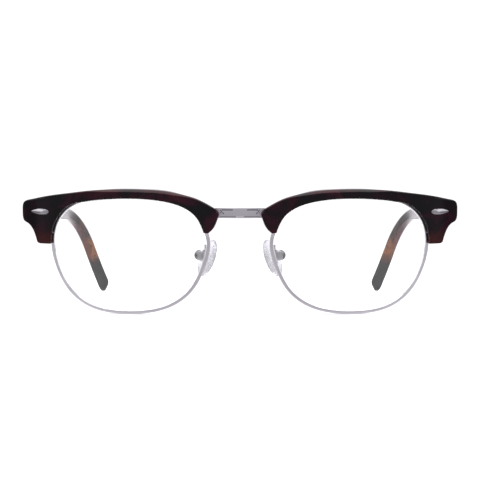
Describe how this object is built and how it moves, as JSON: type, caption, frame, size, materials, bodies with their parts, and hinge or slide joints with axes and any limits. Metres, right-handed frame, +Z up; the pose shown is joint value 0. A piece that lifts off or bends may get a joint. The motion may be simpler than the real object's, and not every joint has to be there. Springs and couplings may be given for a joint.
{
  "type": "half rim eyeglasses",
  "caption": "Browline eyeglasses with tortoise acetate brows over silver metal eyewires, clear lenses, folding temples and rocking nose pads.",
  "frame": {"origin": "middle of the depth and width, on the table plane that the rim bottoms and temple tips stand on", "axes": "+Z up from the table, -Y out of the front of the glasses, +Y back along the temples, +X towards the wearer's left"},
  "size_m": [0.1468, 0.1504, 0.0418],
  "materials": {
    "acetate": "polished dark tortoise cellulose acetate",
    "nickel_silver": "polished nickel silver, soft sheen",
    "steel": "turned stainless steel",
    "lens": "clear hard coated lens plastic",
    "silicone": "clear soft silicone"
  },
  "bodies": {
    "front": {"bridge": "nickel_silver", "eyewire_left": "nickel_silver", "lens_left": "lens", "rim_lock_upper_left": "nickel_silver", "rim_lock_lower_left": "nickel_silver", "rim_lock_screw_left": "steel", "brow_left": "acetate", "brow_tab_nasal_left": "nickel_silver", "brow_tab_temporal_left": "nickel_silver", "brow_screw_nasal_left": "steel", "brow_screw_temporal_left": "steel", "rivet_left": "nickel_silver", "hinge_front_leaf_left": "nickel_silver", "hinge_screw_left": "steel", "pad_cup_left": "nickel_silver", "pad_arm_left": "nickel_silver", "pad_screw_left": "steel", "eyewire_right": "nickel_silver", "lens_right": "lens", "rim_lock_upper_right": "nickel_silver", "rim_lock_lower_right": "nickel_silver", "rim_lock_screw_right": "steel", "brow_right": "acetate", "brow_tab_nasal_right": "nickel_silver", "brow_tab_temporal_right": "nickel_silver", "brow_screw_nasal_right": "steel", "brow_screw_temporal_right": "steel", "rivet_right": "nickel_silver", "hinge_front_leaf_right": "nickel_silver", "hinge_screw_right": "steel", "pad_cup_right": "nickel_silver", "pad_arm_right": "nickel_silver", "pad_screw_right": "steel"},
    "temple_left": {"hinge_temple_leaf_left": "nickel_silver", "temple_left": "acetate", "temple_core_left": "steel"},
    "temple_right": {"hinge_temple_leaf_right": "nickel_silver", "temple_right": "acetate", "temple_core_right": "steel"},
    "pad_left": {"nose_pad_left": "silicone", "pad_lug_left": "steel"},
    "pad_right": {"nose_pad_right": "silicone", "pad_lug_right": "steel"}
  },
  "joints": [
    {"name": "temple_left_fold", "type": "hinge", "parent": "front", "child": "temple_left", "pos_m": [0.0663, -0.05752, 0.03492], "axis": [0, -0.1045, 0.9945], "range_deg": [0, 90]},
    {"name": "temple_right_fold", "type": "hinge", "parent": "front", "child": "temple_right", "pos_m": [-0.0663, -0.05752, 0.03492], "axis": [0, 0.1045, -0.9945], "range_deg": [0, 82]},
    {"name": "pad_left_rock", "type": "hinge", "parent": "front", "child": "pad_left", "pos_m": [0.01337, -0.06358, 0.01955], "axis": [0.5736, 0.8147, 0.0856], "range_deg": [-8, 8]},
    {"name": "pad_right_rock", "type": "hinge", "parent": "front", "child": "pad_right", "pos_m": [-0.01337, -0.06358, 0.01955], "axis": [0.5736, -0.8147, -0.0856], "range_deg": [-8, 8]}
  ]
}
